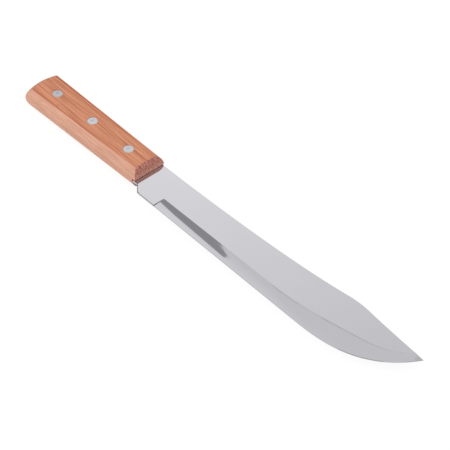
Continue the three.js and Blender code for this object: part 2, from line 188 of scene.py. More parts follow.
class HandleSizes(bpy.types.PropertyGroup):
    """Sizes of the wooden handle and its slot."""

    length: size("Length", "From the front to the crown of the butt", 126.7)
    thickness: size("Thickness", "Between the two flat faces", handle_thickness / MM)
    width_front: size("Width at the front", "Over the rounded sides", 27.4)
    width_butt: size("Width at the butt", "Over the rounded sides", 30.7)
    face_front: size("Face at the front", "Width of the flat face", 18.8)
    face_butt: size("Face at the butt", "Width of the flat face", 22.7)
    offset: size("Offset", "Of the middle from the rivet line, towards the spine", 0.8)
    front_setback: size("Front setback", "How far the front rounds back to the flat faces", 3.6)
    front_power: number("Front power", "How late that rounding sets in: 1 is an even slope", 2.5, min=1)
    crown_across: size("Butt crown across", "How far the dome falls back towards the sides", 3.6)
    crown_through: size("Butt crown through", "How far the dome falls back towards the faces", 5.7)
    rounding: size("End rounding", "Radius of the broken edges at both ends", 0.5)
    slot_notch: size("Slot notch", "Length of the front where the slot is open on the edge side", 3.1)
    clearance: size("Clearance", "Round the tang and the rivets", 0.25)


class RivetSizes(bpy.types.PropertyGroup):
    """Sizes of the three solid rivets."""

    head: size("Head diameter", "Of the countersunk head, spread to fill its hole", rivet_head / MM + 0.3)
    shank: size("Shank diameter", "Between the heads", 5)
    height: size("Height", "Over both heads", rivet_height / MM)
    head_depth: size("Head depth", "Of the head's straight rim", 2.4)
    cone_depth: size("Cone depth", "From the rim to the shank", 1.3)
    rim: size("Rim rounding", "Radius of the head's edge", 0.12)
    gap: size("Rim gap", "Between a head and the wood", 0.08)
    dimple: size("Dimple diameter", "Of the pressed mark", 3)
    dimple_depth: size("Dimple depth", "Of the pressed mark", 0.25)


class Finishes(bpy.types.PropertyGroup):
    """Linear colours of the steel, the aluminium and the wood, and the lie of the grain."""

    steel: colour("Steel", "Polished faces of the blade", (0.668, 0.661, 0.697))
    steel_wall: colour("Stamped steel", "Sheared walls along the heel and the spine", (0.5, 0.5, 0.52))
    # Painted reflection: the broken corners are darkened to stand for the dark surroundings they reflect;
    # they are also rough.
    dark_reflecting_corner: colour("Steel corners", "Dull broken corners along the blade", (0.46, 0.46, 0.48))
    # Painted reflection: the heel's slope and the end of the grind are darkened to stand for a dark
    # reflection.
    dark_reflecting_slope: colour("Steel slopes", "The heel's slope and the end of the grind", (0.125, 0.125, 0.133))
    aluminium: colour("Aluminium", "Rivet heads", (0.68, 0.69, 0.73))
    aluminium_dimple: colour("Aluminium dimple", "The pressed mark", (0.66, 0.60, 0.60))
    # A plainly darker tone on the rivet nearest the butt.
    rear_rivet_darkening: colour("Darker aluminium", "Dulls the rivet nearest the butt", (0.84, 0.83, 0.84))
    grain_tilt: angle("Grain tilt", "Of the wood's fibres against the handle", 1.2)
    face_light: colour("Wood face, light", "Light bands of the flat faces", (0.76, 0.325, 0.183))
    face_dark: colour("Wood face, dark", "Dark bands of the flat faces", (0.5, 0.157, 0.066))
    # The sides are paler partly through the lie of the grain and partly as a painted sheen.
    side_pale_with_sheen: colour("Wood side, light", "Light bands of the rounded sides", (0.755, 0.41, 0.29))
    side_deep_with_sheen: colour("Wood side, dark", "Dark bands of the rounded sides", (0.62, 0.296, 0.193))
    pore: colour("Pores", "Vessel lines in the wood", (0.33, 0.085, 0.04))
    corner: colour("Wood corners", "Thin line between the faces and the sides", (0.46, 0.1, 0.025))
    # Painted shade on the wood in the corner under the steel.
    painted_shade_tone: colour("Painted shade", "Wood in the corner under the steel", (0.06, 0.045, 0.055))
    end_light: colour("End grain, light", "Fibres on the sawn ends", (0.8, 0.4, 0.312))
    end_dark: colour("End grain, dark", "Pores on the sawn ends", (0.367, 0.124, 0.096))
    # Multiplies the end grain: towards the flat faces, and below the steel's middle as painted shade.
    end_darkening_and_shade: colour("End grain, tint", "Darkens the sawn ends towards the flat faces", (0.78, 0.62, 0.6))


class StageSettings(bpy.types.PropertyGroup):
    """Camera, light, floor and cards."""

    azimuth: angle("Azimuth", "Of the camera round the knife, from -Y towards +X", 48.216)
    elevation: angle("Elevation", "Of the camera over the floor", 44.378)
    distance: size("Distance", "From the camera to its target", 1491.35)
    target_ahead: size("Target ahead", "Of the handle's front, along the blade", 75.01)
    target_aside: size("Target aside", "Of the rivet line, towards the spine", 5.15)
    lens: number("Lens", "Focal length in millimetres", 173.02, min=1, unit="CAMERA")
    ambient: number("Ambient", "Strength of the surround", 0.8, min=0)
    key_power: number("Key light", "Power of the soft lamp", 4.0, min=0, unit="POWER")
    key_turn: angle("Key turn", "From the camera round to the soft lamp, towards the butt", 80)
    key_elevation: angle("Key elevation", "Of the soft lamp over the floor", 42)
    key_size: size("Key size", "Side of the soft lamp", 900)
    key_distance: size("Key distance", "From the target to the soft lamp", 1300)
    floor_side: size("Floor", "Side of the floor", 6000)
    floor_tone: colour("Floor tone", "Of the light that the floor throws back", (0.85, 0.85, 0.85))
    floor_shade: colour("Floor shade", "Part of its white that a shadow darkens", (0.2, 0.2, 0.2))
    floor_glow: number("Floor glow", "Part of its white that no shadow darkens", 0.85, min=0)
    card_height: size("Card height", "Of the cards over the blade", 600)
    dark_tone: colour("Dark card", "Tone of the card that the ground face reflects", (0.348, 0.347, 0.358))
    grey_tone: colour("Grey card", "Tone of the card that the belly's edge reflects", (0.52, 0.52, 0.52))
    tip_tone: colour("Tip card", "Tone of the card that the tip reflects", (0.65, 0.65, 0.65))


# Curves and grids. From here on b, h, r, c and s are the settings of the blade, the handle, the rivets, the
# finishes and the stage.


def bezier(points, shares):
    """Points of a Bezier curve: the control points weighed by the Bernstein polynomials of each share."""
    degree = len(points) - 1
    t = np.asarray(shares, float)[:, None]
    weights = [comb(degree, k) * t**k * (1 - t) ** (degree - k) for k in range(degree + 1)]
    return sum(weight * np.asarray(point, float) for weight, point in zip(weights, points))


def even(steps):
    """Shares from 0 to 1 in even steps."""
    return np.linspace(0, 1, steps + 1)


def pairs(x, y):
    """Points in the plane from their coordinates, one of which may be a single number."""
    return np.stack(np.broadcast_arrays(x, y), axis=1)


def step_lengths(path):
    """Distances between the neighbouring points of a polyline."""
    return np.linalg.norm(np.diff(path, axis=0), axis=1)


def along(path, shares):
    """Points on a polyline at the given shares of its length."""
    steps = step_lengths(path)
    run = np.concatenate([[0], np.cumsum(steps)]) / steps.sum()
    return np.stack([np.interp(shares, run, path[:, axis]) for axis in (0, 1)], axis=1)


def between(start, end, shares):
    """Points on a straight line at the given shares."""
    share = np.asarray(shares, float)[:, None]
    return (1 - share) * np.asarray(start, float) + share * np.asarray(end, float)


def smooth_step(share):
    """A share that leaves 0 and reaches 1 without a corner: 3s^2 - 2s^3."""
    s = np.clip(share, 0, 1)
    return s * s * (3 - 2 * s)


def grid_faces(rows, columns, wrap=False):
    """Four-cornered faces between neighbouring rows and columns; wrap joins the last column to the first."""
    row, column = np.meshgrid(np.arange(rows - 1), np.arange(columns if wrap else columns - 1), indexing="ij")
    following = (column + 1) % columns
    corners = [row * columns + column, row * columns + following]
    corners += [(row + 1) * columns + following, (row + 1) * columns + column]
    return np.stack(corners, axis=-1).reshape(-1, 4)


def add_object(name, data):
    """A new object in the scene."""
    thing = bpy.data.objects.new(name, data)
    bpy.context.scene.collection.objects.link(thing)
    return thing


def make_piece(name, points, faces, **marks):
    """A closed mesh at its place: coincident points are merged and the faces turned outwards. Each mark is a
    number for every point."""
    mesh = bpy.data.meshes.new(name)
    mesh.from_pydata((points + origin).tolist(), [], faces)
    for mark, values in marks.items():
        mesh.attributes.new(mark, "FLOAT", "POINT").data.foreach_set("value", values.astype(np.float32))
    shell = bmesh.new()
    shell.from_mesh(mesh)
    bmesh.ops.remove_doubles(shell, verts=shell.verts, dist=MERGE_DISTANCE)
    bmesh.ops.recalc_face_normals(shell, faces=shell.faces)
    shell.to_mesh(mesh)
    shell.free()
    return add_object(name, mesh)


def carve(piece, cutters):
    """Cuts the closed cutters out of a piece and deletes them."""
    for cutter in cutters:
        cut = piece.modifiers.new(cutter.name, "BOOLEAN")
        cut.operation = "DIFFERENCE"
        cut.solver = "EXACT"
        cut.object = cutter
    graph = bpy.context.evaluated_depsgraph_get()
    carved = bpy.data.meshes.new_from_object(
        piece.evaluated_get(graph), preserve_all_data_layers=True, depsgraph=graph
    )
    piece.modifiers.clear()
    uncut = piece.data
    piece.data = carved
    bpy.data.meshes.remove(uncut)
    carved.name = piece.name
    for cutter in cutters:
        bpy.data.meshes.remove(cutter.data)


def shade(mesh, sharp_angle):
    """Smooth shading that breaks at sharp angles and along edges whose two ends are marked crisp."""
    mesh.shade_smooth()
    mesh.set_sharp_from_angle(angle=radians(sharp_angle))
    if "crisp" not in mesh.attributes:
        return
    crisp = np.zeros(len(mesh.vertices), np.float32)
    mesh.attributes["crisp"].data.foreach_get("value", crisp)
    ends = np.zeros(2 * len(mesh.edges), np.int32)
    mesh.edges.foreach_get("vertices", ends)
    sharp = np.zeros(len(mesh.edges), bool)
    mesh.edges.foreach_get("use_edge_sharp", sharp)
    marked = crisp > FULLY_MARKED
    sharp |= marked[ends.reshape(-1, 2)].all(axis=1)
    mesh.edges.foreach_set("use_edge_sharp", sharp)


def hand_over(piece, node, material):
    """Gives a finished piece its material and lets it stand for its node."""
    piece.data.materials.clear()
    piece.data.materials.append(material)
    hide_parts(node)
    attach(piece, BODY)


# Blade


def handle_half_width(handle, x):
    """Half the handle's width at a place x behind its front (x is negative)."""
    share = -x / handle.length
    return ((1 - share) * handle.width_front + share * handle.width_butt) / 2


def behind(end, turn, reach):
    """The point that lies a reach behind the end of a curve arriving at an angle to X."""
    return (end[0] - reach * cos(turn), end[1] - reach * sin(turn))


def blade_curves(b):
    """Ridge (spine, rounded corner and clip in one polyline), belly and the grind line's curve: Bezier curves
    that run towards the tip."""
    fine = even(CURVE_STEPS)
    tip = (b.length, b.tip_height)
    corner = (b.length - b.clip_length, b.spine_at_clip)
    start = (0, b.spine_at_handle)
    level = (b.spine_straight, b.spine_at_handle)
    swept = (corner[0] - b.sweep_reach, corner[1] - b.sweep_rise)
    spine = bezier([start, level, swept, corner], fine)
    dipped = ((corner[0] + tip[0]) / 2, (corner[1] + tip[1]) / 2 - 2 * b.clip_hollow)
    clip = bezier([corner, dipped, tip], fine)
    spine_run, clip_run = step_lengths(spine).sum(), step_lengths(clip).sum()
    spine = along(spine, fine * (1 - b.clip_corner / spine_run))
    after_corner = b.clip_corner / clip_run
    before_tip = 1 - b.grind_setback / clip_run
    clip = along(clip, after_corner + fine * (before_tip - after_corner))
    rounding = bezier([spine[-1], corner, clip[0]], even(CLIP_CORNER_STEPS))
    ridge = np.concatenate([spine, rounding[1:], clip[1:]])
    belly_start = (b.length - b.belly_length, -b.edge_at_belly)
    belly_level = (belly_start[0] + b.belly_reach, belly_start[1])
    belly = bezier([belly_start, belly_level, behind(tip, b.tip_angle, b.tip_reach), tip], fine)
    grind_points = [
        (b.grind_straight, -b.grind_depth),
        (b.grind_straight + b.grind_reach, -b.grind_depth),
        (b.grind_low_x, -b.grind_low_y),
        (b.grind_high_x, b.grind_high_y),
        behind(ridge[-1], b.grind_tip_angle, b.grind_tip_reach),
        ridge[-1],
    ]
    return ridge, belly, bezier(grind_points, fine)


def blade_rails(b, handle):
    """Edge, grind line and back at each station from the tang's end to the tip, with the share of the grind's
    depth that is reached there. Stations run square to the blade up to the plunge. Past it each joins points
    that lie at the same share of the edge, of the grind line and of the back."""
    ridge, belly, grind = blade_curves(b)

    def back_over(x):
        """Points of the ridge over the places x."""
        return pairs(x, np.interp(x, ridge[:, 0], ridge[:, 1]))

    def tang_back(x):
        """Height of the tang's upper edge, a recess below the handle's back."""
        return handle.offset + handle_half_width(handle, x) - b.tang_recess

    tang_end = blade_low[0] - origin[0]
    round_end = tang_end + b.tang_corner
    turn = even(ROUND_STEPS)
    floor, roof = -b.tang_floor, tang_back(tang_end)
    edges = [bezier([(tang_end, floor + b.tang_corner), (tang_end, floor), (round_end, floor)], turn)]
    roof_start = (round_end, tang_back(round_end))
    backs = [bezier([(tang_end, roof - b.tang_corner), (tang_end, roof), roof_start], turn)]
    shoulder_step = 0.3 * MM
    tang_x = np.linspace(round_end, -b.root_inset - shoulder_step, TANG_STEPS + 1)[1:]
    edges.append(pairs(tang_x, floor))
    backs.append(pairs(tang_x, tang_back(tang_x)))

    heel_x = b.root_length + b.heel_run
    slope = np.array([b.heel_run, b.root_depth - b.heel_depth])
    polish_step = 0.04 * MM
    root_x = np.array([-b.root_inset, -b.polish_inset - polish_step, -b.polish_inset, 0, b.root_length / 2])
    root = pairs(root_x, -b.root_depth)
    heel_corner = (heel_x, -b.heel_depth)
    heel_turn = heel_corner - slope * b.heel_rounding / np.linalg.norm(slope)
    chamfer = between((b.root_length, -b.root_depth), heel_turn, even(SLOPE_STEPS))
    rounding = bezier([heel_turn, heel_corner, (heel_x + b.heel_rounding, -b.heel_depth)], turn)[1:]
    bottom = between(rounding[-1], (b.plunge, -b.heel_depth), even(HEEL_STEPS))[1:]
    heel = np.concatenate([root, chamfer, rounding, bottom])
    edges.append(heel)
    backs.append(back_over(heel[:, 0]))

    run = b.grind_straight - b.plunge
    ramp = even(PLUNGE_STEPS)[1:] * b.plunge_ramp / run
    past_ramp = 1.3 * ramp[-1]  # a little flat face before the long even steps
    straight = np.concatenate([ramp, np.linspace(past_ramp, 1, STRAIGHT_STEPS + 1)])
    ground = smooth_step(straight * run / b.plunge_ramp)
    edge = between((b.plunge, -b.edge_at_plunge), belly[0], straight)
    edge[:, 1] += (1 - ground) * (b.edge_at_plunge - b.heel_depth)
    line = between((b.plunge, -b.grind_depth), grind[0], straight)
    curved = 1 - (1 - even(BELLY_STEPS)[1:]) ** TIP_CROWDING
    ridge_rest = np.concatenate([back_over([b.grind_straight]), ridge[ridge[:, 0] > b.grind_straight]])
    edges += [edge, along(belly, curved)]
    backs += [back_over(line[:, 0]), along(ridge_rest, curved)]

    edge, back = np.concatenate(edges), np.concatenate(backs)
    plain = len(edge) - len(straight) - len(curved)
    rise = b.root_depth - b.grind_depth
    plain_line = pairs(edge[:plain, 0], np.maximum(-b.grind_depth, edge[:plain, 1] + rise))
    line = np.concatenate([plain_line, line, along(grind, curved)])
    share = np.concatenate([np.zeros(plain), ground, np.ones(len(curved))])
    return edge, line, back, share


def blade_surface(b, handle):
    """Rings round the blade at each station, from the edge over one face to the back and home over the other.
    Over the ground width the half thickness falls evenly from the flat to the edge bevel, less a dip of
    4s(1 - s) times the hollow, which fades with the square of a narrow width. The corners of the walls are
    quarter rounds."""
    edge, line, back, share = blade_rails(b, handle)
    rough = edge[:, 0] < -b.polish_inset - TINY
    half = np.where(rough, b.thickness / 2, b.thickness / 2 - b.polish)[:, None]
    share = share[:, None]
    across = line - edge
    width = np.linalg.norm(across, axis=1)[:, None]
    course = np.gradient(edge, axis=0)
    course /= np.linalg.norm(course, axis=1)[:, None]
    square_width = np.abs(course[:, :1] * across[:, 1:] - course[:, 1:] * across[:, :1])
    bevel_width = b.bevel_width * width / np.maximum(square_width, width / 4)
    hollow_width = width - bevel_width
    dip = b.hollow * np.minimum(1, (width / (b.edge_at_plunge - b.grind_depth)) ** 2)

    def half_at(distance):
        """Half thickness at a distance from the edge, up to the grind line."""
        s = np.clip((width - distance) / hollow_width, 0, 1)
        hollow = half * (1 - s) + b.bevel_thickness / 2 * s - dip * 4 * s * (1 - s)
        bevel_share = np.clip(distance / bevel_width, 0, 1)
        bevel = b.edge_thickness / 2 * (1 - bevel_share) + b.bevel_thickness / 2 * bevel_share
        return half * (1 - share) + np.where(distance < bevel_width, bevel, hollow) * share

    turn = np.linspace(0, np.pi / 2, BREAK_STEPS + 1)[None, :]
    fullest_round = 0.95  # share of the half thickness that a rounded corner may take up
    edge_radius = np.minimum(b.heel_break, half_at(np.zeros_like(width)) * fullest_round)
    edge_round = edge_radius * (1 - np.cos(turn))
    hollowed = bevel_width + hollow_width * even(HOLLOW_STEPS)[1:]
    distance = np.concatenate([edge_round, bevel_width * BEVEL_SHARES, hollowed], axis=1)
    ground_z = half_at(distance)
    ground_z[:, : turn.size] -= edge_radius * (1 - np.sin(turn))
    reach = distance / width
    ground_xy = edge[:, None] + across[:, None] * reach[..., None]

    flat_width = np.linalg.norm(back - line, axis=1)[:, None]
    back_radius = np.minimum(np.minimum(b.corner_break, half / 2), flat_width / 2)
    level = (flat_width - back_radius) * even(FLAT_STEPS)[1:]
    back_round = flat_width - back_radius * (1 - np.sin(turn[:, 1:]))
    flat_distance = np.concatenate([level, back_round], axis=1)
    flat_z = np.broadcast_to(half, flat_distance.shape).copy()
    flat_z[:, -turn.size + 1 :] -= back_radius * (1 - np.cos(turn[:, 1:]))
    flat_reach = flat_distance / np.maximum(flat_width, TINY)
    flat_xy = line[:, None] + (back - line)[:, None] * flat_reach[..., None]

    xy = np.concatenate([ground_xy, flat_xy], axis=1)
    z = np.concatenate([ground_z, flat_z], axis=1)[..., None]
    upper = np.concatenate([xy, z], axis=2)
    lower = np.concatenate([xy, -z], axis=2)[:, ::-1]
    rings = np.concatenate([upper, lower], axis=1)
    stations, columns = rings.shape[:2]
    faces = [grid_faces(stations, columns, wrap=True)]
    column = np.arange(columns // 2 - 1)
    cap = np.stack([column, column + 1, columns - 2 - column, columns - 1 - column], axis=1)
    faces += [cap, cap + (stations - 1) * columns]

    crisp = np.zeros((stations, columns // 2))
    grind_column = ground_xy.shape[1] - 1
    plunge_station = int(np.argmax(share[:, 0] > 0)) - 1
    crisp[:, [columns // 2 - turn.size, columns // 2 - 1]] = 1
    crisp[plunge_station + 1 :, [0, turn.size - 1]] = 1
    crisp[plunge_station:, [turn.size + 1, grind_column]] = 1
    crisp[plunge_station, : grind_column + 1] = 1
    polish_station = int(np.argmin(rough))
    crisp[polish_station - 1 : polish_station + 1] = 1
    crisp = np.concatenate([crisp, crisp[:, ::-1]], axis=1)
    return rings.reshape(-1, 3), np.concatenate(faces).tolist(), crisp.reshape(-1)


# Handle


def handle_section(h, x, inset):
    """Y and Z of the handle's section at the places x, one for each point round it: a circular arc through
    the side's middle and both face corners, then a flat face, then the other arc and the other face."""
    half_thickness = h.thickness / 2 - inset
    share = -x / h.length
    half_width = handle_half_width(h, x) - inset
    half_face = ((1 - share) * h.face_front + share * h.face_butt) / 2 - inset
    swell = half_width - half_face
    radius = (half_thickness**2 + swell**2) / (2 * swell)
    span = np.arcsin(half_thickness / radius)
    arc = np.linspace(1, -1, ARC_STEPS + 1)
    face = np.linspace(1, -1, FACE_STEPS + 1)[1:-1]
    side = np.concatenate([np.ones_like(arc), face, -np.ones_like(arc), -face])
    lean = np.concatenate([arc, np.zeros_like(face), -arc, np.zeros_like(face)])
    flat = np.concatenate([0 * arc, 0 * face - 1, 0 * arc, 0 * face + 1])
    round_y = side * (half_width - radius + radius * np.cos(span * lean))
    round_z = radius * np.sin(span * lean)
    y = np.where(flat == 0, round_y, side * half_face)
    z = np.where(flat == 0, round_z, flat * half_thickness)
    return y, z


def front_place(h, y, z):
    """The front is a rounded nose: it falls back with a power of the distance from the steel's middle."""
    return -h.front_setback * np.abs(2 * z / h.thickness) ** h.front_power


def butt_place(h, y, z):
    """The butt is a shallow dome: it falls back with the squares of the places across and through it."""
    across = h.crown_across * (2 * y / h.width_butt) ** 2
    return -h.length + across + h.crown_through * (2 * z / h.thickness) ** 2


def handle_surface(h):
    """Rings from the front to the butt, each with two flat faces and two round sides, and a grid over each
    end. At both ends the rings draw in over a quarter round."""
    count = 2 * (ARC_STEPS + 1) + 2 * (FACE_STEPS - 1)
    rounds = 3

    def ring(place, inset):
        """A ring on a curved end: its place and its section depend on each other and are found in turns."""
        x = np.zeros(count)
        for _ in range(rounds):
            y, z = handle_section(h, x, inset)
            x = np.broadcast_to(place(y, z), x.shape)
        return np.stack([x, y + h.offset, z], axis=1)

    turns = np.linspace(0, np.pi / 2, ROUND_STEPS + 1)
    leads = h.rounding * (1 - np.sin(turns))
    insets = h.rounding * (1 - np.cos(turns))
    ends = [
        [ring(lambda y, z: place(h, y, z) + inward * lead, inset) for lead, inset in zip(leads, insets)]
        for place, inward in ((front_place, -1), (butt_place, 1))
    ]
    margin = 2 * MM
    front_end = -h.front_setback - 2 * h.rounding - margin
    dome = h.crown_across + h.crown_through + 2 * h.rounding
    middle_x = np.linspace(front_end, dome - h.length + margin, HANDLE_STEPS + 1)
    middle = [ring(lambda y, z: x, 0) for x in middle_x]
    rings = np.stack(ends[0][::-1] + middle + ends[1])
    points = [rings.reshape(-1, 3)]
    faces = [grid_faces(len(rings), count, wrap=True)]
    across = even(FACE_STEPS)[None, :, None]
    far_side = ARC_STEPS + FACE_STEPS
    for rim, place in ((rings[0], front_place), (rings[-1], butt_place)):
        right = rim[: ARC_STEPS + 1]
        left = rim[far_side : far_side + ARC_STEPS + 1][::-1]
        cap = (1 - across) * right[:, None] + across * left[:, None]
        cap[..., 0] = place(h, cap[..., 1] - h.offset, cap[..., 2])
        faces.append(grid_faces(ARC_STEPS + 1, FACE_STEPS + 1) + sum(map(len, points)))
        points.append(cap.reshape(-1, 3))
    crisp = np.zeros((len(rings), count))
    crisp[:, [0, ARC_STEPS, far_side, far_side + ARC_STEPS]] = 1
    crisp = np.concatenate([crisp.reshape(-1), np.zeros(sum(map(len, points[1:])))])
    return np.concatenate(points), np.concatenate(faces).tolist(), crisp


def slot_cutter(b, h):
    """The saw cut for the tang: its plan carried through the thickness of the steel and its clearance."""
    margin = 10 * MM
    far, wide = h.length + margin, h.width_butt
    floor = -b.tang_floor - h.clearance
    outline = [(-far, floor), (-h.slot_notch, floor), (-h.slot_notch, -wide)]
    outline += [(margin, -wide), (margin, wide), (-far, wide)]
    outline = np.array(outline)
    level = np.full((len(outline), 1), b.thickness / 2 + h.clearance)
    points = np.concatenate([np.hstack([outline, level]), np.hstack([outline, -level])])
    count = len(outline)
    ring = np.arange(count)
    walls = np.stack([ring, (ring + 1) % count, (ring + 1) % count + count, ring + count], axis=1)
    faces = walls.tolist() + [ring.tolist(), (ring[::-1] + count).tolist()]
    return make_piece("slot_cutter", points, faces)


# Rivets


def turned(profile, sides):
    """A profile of radius and height carried round the Z axis."""
    around = np.linspace(0, 2 * np.pi, sides, endpoint=False)
    radius, height = profile[:, :1], profile[:, 1:]
    ring = [radius * np.cos(around), radius * np.sin(around), np.broadcast_to(height, (len(profile), sides))]
    return np.stack(ring, axis=-1).reshape(-1, 3), grid_faces(len(profile), sides, wrap=True).tolist()


def mirrored(upper):
    """An upper half profile with its mirror image below it."""
    return np.concatenate([upper[::-1] * (1, -1), upper])


def rivet_profile(r):
    """Upper half of a rivet: shank, cone, straight rim, quarter-round edge, flat and a dished dimple."""
    top = r.height / 2
    neck = top - r.head_depth
    turn = np.linspace(0, np.pi / 2, BREAK_STEPS + 1)
    rim = pairs(r.head / 2 - r.rim * (1 - np.cos(turn)), top - r.rim * (1 - np.sin(turn)))
    share = np.linspace(1, 0, DIMPLE_STEPS + 1)
    softness = 1.5
    dimple = pairs(share * r.dimple / 2, top - r.dimple_depth * (1 - share**2) ** softness)
    flat = [[(r.head / 2 - r.rim + r.dimple / 2) / 2, top]]
    return np.concatenate([[[r.shank / 2, neck - r.cone_depth], [r.head / 2, neck]], rim, flat, dimple])


def hole_profile(r, clearance, thickness):
    """Upper half of the hole that a rivet sits in."""
    neck = r.height / 2 - r.head_depth
    head, shank = r.head / 2 + clearance, r.shank / 2 + clearance
    return np.array([[shank, neck - r.cone_depth], [head, neck], [head, thickness], [0, thickness]])


def hole_cutters(r, clearance, thickness):
    """One cutter for each rivet hole."""
    points, faces = turned(mirrored(hole_profile(r, clearance, thickness)), HOLE_SIDES)
    places = [centre - origin for centre in rivet_centres]
    return [make_piece(f"hole_cutter_{i}", points + place, faces) for i, place in enumerate(places)]


# Materials


class Tree:
    """Places nodes in a node tree, sets their inputs and links them."""

    def __init__(self, tree):
        self.tree = tree

    def add(self, kind, inputs=None, **settings):
        """A node with its settings. An input that is given a socket is linked, any other gets the value."""
        node = self.tree.nodes.new(kind)
        for key, value in settings.items():
            setattr(node, key, value)
        for key, value in (inputs or {}).items():
            if isinstance(value, bpy.types.NodeSocket):
                self.tree.links.new(value, node.inputs[key])
            else:
                node.inputs[key].default_value = (*value, 1.0) if isinstance(value, Color) else value
        return node

    def math(self, operation, first, second=0.0):
        return self.add("ShaderNodeMath", {0: first, 1: second}, operation=operation).outputs[0]

    def times(self, first, second):
        return self.math("MULTIPLY", first, second)

    def ramp(self, value, low, high, to_low=0.0, to_high=1.0):
        """A smooth climb from to_low to to_high while the value goes from low to high."""
        limits = {"Value": value, 1: low, 2: high, 3: to_low, 4: to_high}
        return self.add("ShaderNodeMapRange", limits, interpolation_type="SMOOTHSTEP").outputs["Result"]

    def blend(self, factor, first, second):
        """A number between two numbers."""
        return self.add("ShaderNodeMix", {0: factor, 2: first, 3: second}).outputs[0]

    def mix(self, factor, first, second, blend="MIX"):
        """A colour between two colours."""
        sockets = {0: factor, 6: first, 7: second}
        return self.add("ShaderNodeMix", sockets, data_type="RGBA", blend_type=blend).outputs[2]

    def bump(self, height, strength, distance):
        """The normal of a surface that rises and falls with a height."""
        sockets = {"Height": height, "Strength": strength, "Distance": distance}
        return self.add("ShaderNodeBump", sockets).outputs[0]

    def parts(self, vector):
        """X, Y and Z of a vector."""
        return self.add("ShaderNodeSeparateXYZ", {0: vector}).outputs

    def group(self, group, inputs=None):
        return self.add("ShaderNodeGroup", inputs, node_tree=group).outputs[0]


def new_group(name, inputs, output):
    """An empty node group with named number and vector inputs and one number output."""
    group = bpy.data.node_groups.new(name, "ShaderNodeTree")
    for socket, kind in inputs:
        group.interface.new_socket(socket, in_out="INPUT", socket_type=kind)
    group.interface.new_socket(output, in_out="OUTPUT", socket_type="NodeSocketFloat")
    return group, Tree(group)


def lengthwise_grain():
    """Noise drawn out along X: fibres in wood, polishing lines in steel, sanding scratches in aluminium."""
    inputs = [("Vector", "NodeSocketVector")]
    inputs += [(name, "NodeSocketFloat") for name in ("Length", "Width", "Detail", "Seed")]
    group, tree = new_group("lengthwise_grain", inputs, "Grain")
    given = tree.add("NodeGroupInput").outputs
    scale = tree.add("ShaderNodeCombineXYZ", {"X": given["Length"], "Y": given["Width"], "Z": given["Width"]})
    place = tree.add("ShaderNodeVectorMath", {0: given["Vector"], 1: scale.outputs[0]}, operation="DIVIDE")
    settings = {"Vector": place.outputs[0], "W": given["Seed"], "Scale": 1.0, "Detail": given["Detail"]}
    noise = tree.add("ShaderNodeTexNoise", settings, noise_dimensions="4D")
    tree.add("NodeGroupOutput", {"Grain": noise.outputs["Fac"]})
    return group


def facing_axis(axis):
    """How far a surface faces along one of its own axes, either way, from 0 to 1."""
    group, tree = new_group(f"facing_{axis.lower()}", [], "Facing")
    normal = tree.add("ShaderNodeTexCoord").outputs["Normal"]
    tree.add("NodeGroupOutput", {"Facing": tree.math("ABSOLUTE", tree.parts(normal)[axis])})
    return group


def shared_group(name, build, *values):
    """A node group that is built once and then used again."""
    return bpy.data.node_groups.get(name) or build(*values)


def facing(tree, axis):
    """The shared group that tells how far a surface faces along an axis."""
    return tree.group(shared_group(f"facing_{axis.lower()}", facing_axis, axis))


def streaks(tree, vector, length, width, detail, seed):
    """The shared grain, with the length and the width of its streaks in millimetres."""
    grain = shared_group("lengthwise_grain", lengthwise_grain)
    inputs = {"Vector": vector, "Length": length * MM, "Width": width * MM, "Detail": detail, "Seed": seed}
    return tree.group(grain, inputs)


def empty_tree(owner):
    """The emptied node tree of a material or of a world."""
    owner.use_nodes = True
    owner.node_tree.nodes.clear()
    return Tree(owner.node_tree)


def new_material(name):
    """A material and its empty tree."""
    material = bpy.data.materials.new(name)
    return material, empty_tree(material)


def from_front(tree):
    """The piece's own coordinates, counted from the handle's front."""
    coordinates = tree.add("ShaderNodeTexCoord").outputs["Object"]
    return tree.add("ShaderNodeMapping", {"Vector": coordinates, "Location": tuple(-origin)}).outputs[0]


def finish_material(tree, base, roughness, normal, metallic=0.0):
    """The surface shader and the output of a material."""
    inputs = {"Base Color": base, "Metallic": metallic, "Roughness": roughness, "Normal": normal}
    shader = tree.add("ShaderNodeBsdfPrincipled", inputs)
    tree.add("ShaderNodeOutputMaterial", {"Surface": shader.outputs[0]})


